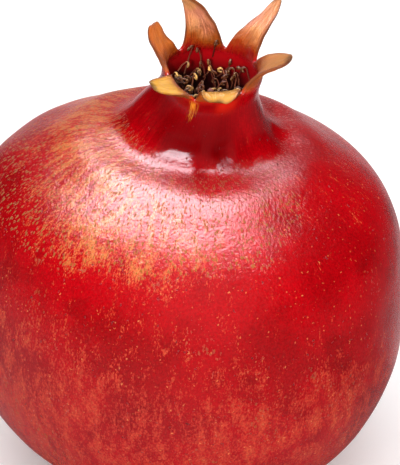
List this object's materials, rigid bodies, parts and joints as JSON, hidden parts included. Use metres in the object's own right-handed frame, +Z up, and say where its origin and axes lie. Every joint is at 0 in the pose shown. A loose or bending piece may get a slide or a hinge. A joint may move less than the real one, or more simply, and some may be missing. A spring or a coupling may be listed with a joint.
{
  "type": "pomegranate",
  "caption": "Whole ripe pomegranate standing on its stalk end, with a short neck and a crown of dry sepals around a tuft of stamens.",
  "frame": {"origin": "on the resting plane, under the middle of the fruit's footprint", "axes": "+Z up through the crown; +X the way the fruit leans; -Y the side whose sepals are folded down"},
  "size_m": [0.0936, 0.0948, 0.1074],
  "materials": {
    "rind": "waxy leathery rind, crimson mottled with orange and olive streaks, tan dry sepals",
    "stamens": "dry matte filaments and curled anthers",
    "stalk": "dry cut woody stalk"
  },
  "bodies": {
    "root": {"fruit": "rind", "stamens": "stamens", "stem_stub": "stalk"}
  },
  "joints": []
}
